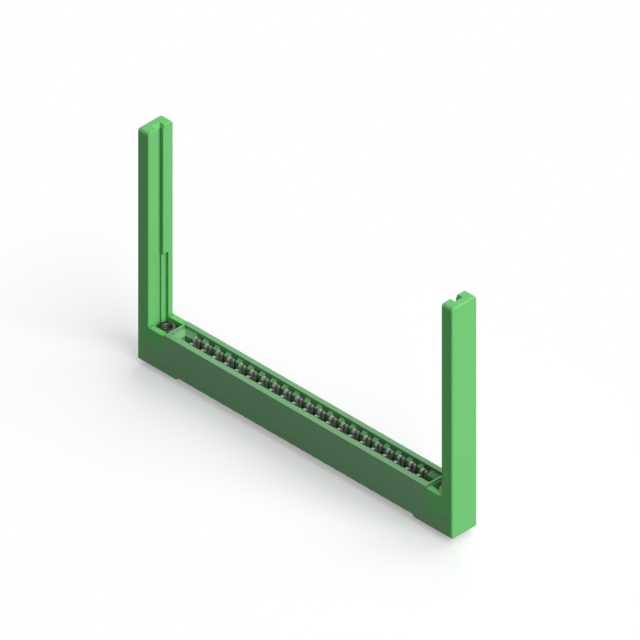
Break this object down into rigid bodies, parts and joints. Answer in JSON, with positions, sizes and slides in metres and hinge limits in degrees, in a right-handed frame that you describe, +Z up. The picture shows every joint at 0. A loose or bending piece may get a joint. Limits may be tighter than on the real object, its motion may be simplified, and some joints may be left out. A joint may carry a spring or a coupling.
{
  "type": "card edge connector",
  "caption": "Board-mount card edge connector in green plastic, with two rows of split spring contacts, two threaded inserts and tall card guides at both ends.",
  "frame": {"origin": "middle of the contact tail field in the plane of the feet, which is the board's surface", "axes": "X along the contact rows, Y from the front to the back, Z up, the way the card is pulled out"},
  "size_m": [0.1098, 0.0086, 0.0711],
  "materials": {
    "housing_plastic": "satin moulded thermoplastic, mid green, with no print or marking",
    "contact_metal": "thin copper alloy strip with a pale, warm grey plating, soft sheen",
    "insert_metal": "turned copper alloy, dull warm grey"
  },
  "bodies": {
    "root": {"housing": "housing_plastic", "contact_back_01": "contact_metal", "contact_back_02": "contact_metal", "contact_back_03": "contact_metal", "contact_back_04": "contact_metal", "contact_back_05": "contact_metal", "contact_back_06": "contact_metal", "contact_back_07": "contact_metal", "contact_back_08": "contact_metal", "contact_back_09": "contact_metal", "contact_back_10": "contact_metal", "contact_back_11": "contact_metal", "contact_back_12": "contact_metal", "contact_back_13": "contact_metal", "contact_back_14": "contact_metal", "contact_back_15": "contact_metal", "contact_back_16": "contact_metal", "contact_back_17": "contact_metal", "contact_back_18": "contact_metal", "contact_back_19": "contact_metal", "contact_back_20": "contact_metal", "contact_back_21": "contact_metal", "contact_front_01": "contact_metal", "contact_front_02": "contact_metal", "contact_front_03": "contact_metal", "contact_front_04": "contact_metal", "contact_front_05": "contact_metal", "contact_front_06": "contact_metal", "contact_front_07": "contact_metal", "contact_front_08": "contact_metal", "contact_front_09": "contact_metal", "contact_front_10": "contact_metal", "contact_front_11": "contact_metal", "contact_front_12": "contact_metal", "contact_front_13": "contact_metal", "contact_front_14": "contact_metal", "contact_front_15": "contact_metal", "contact_front_16": "contact_metal", "contact_front_17": "contact_metal", "contact_front_18": "contact_metal", "contact_front_19": "contact_metal", "contact_front_20": "contact_metal", "contact_front_21": "contact_metal", "insert_left": "insert_metal", "insert_right": "insert_metal"}
  },
  "joints": []
}
